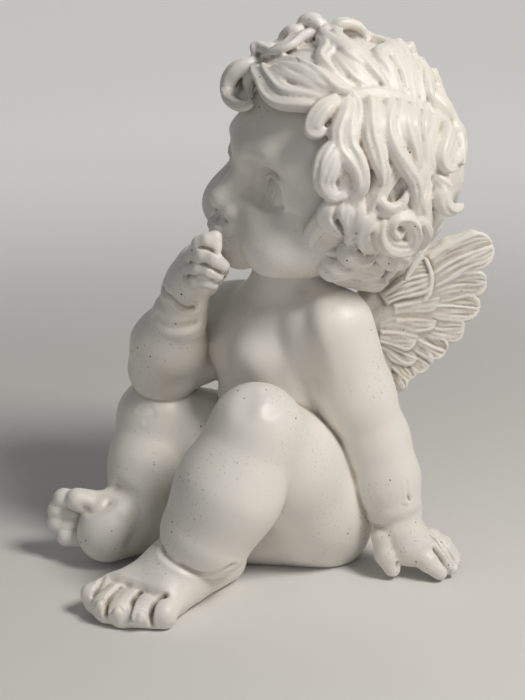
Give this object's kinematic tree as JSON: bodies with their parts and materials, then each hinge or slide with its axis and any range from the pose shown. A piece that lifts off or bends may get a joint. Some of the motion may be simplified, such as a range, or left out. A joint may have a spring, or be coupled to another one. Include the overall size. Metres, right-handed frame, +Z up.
{
  "type": "seated angel figurine",
  "caption": "Seated baby angel figurine in white painted resin, leaning on one arm with a hand at its mouth, curly hair and small feathered wings.",
  "frame": {"origin": "centre of the seat pad's underside, on the table", "axes": "+Z up from the table; the picture's viewer stands at -Y with +X to the right, so the figure faces -X and -Y and shows its left side"},
  "size_m": [0.1925, 0.1711, 0.2278],
  "materials": {
    "painted_resin": "satin ivory-white paint over cast polyresin, with dust in the folds",
    "bare_resin": "unpainted cast polyresin",
    "felt": "pressed felt",
    "dowel_steel": "plain steel rod"
  },
  "bodies": {
    "root": {"torso": "painted_resin", "head": "painted_resin", "hair": "painted_resin", "left_arm": "painted_resin", "left_hand": "painted_resin", "right_arm": "painted_resin", "right_hand": "painted_resin", "left_leg": "painted_resin", "left_foot": "painted_resin", "right_leg": "painted_resin", "right_foot": "painted_resin", "left_wing": "painted_resin", "right_wing": "painted_resin", "seat_plug": "bare_resin", "seat_felt": "felt", "neck_dowel": "dowel_steel", "left_shoulder_dowel": "dowel_steel", "right_shoulder_dowel": "dowel_steel", "left_hip_dowel": "dowel_steel", "right_hip_dowel": "dowel_steel", "left_wrist_dowel": "dowel_steel", "right_wrist_dowel": "dowel_steel", "left_ankle_dowel": "dowel_steel", "right_ankle_dowel": "dowel_steel", "left_wing_dowel": "dowel_steel", "right_wing_dowel": "dowel_steel"}
  },
  "joints": []
}
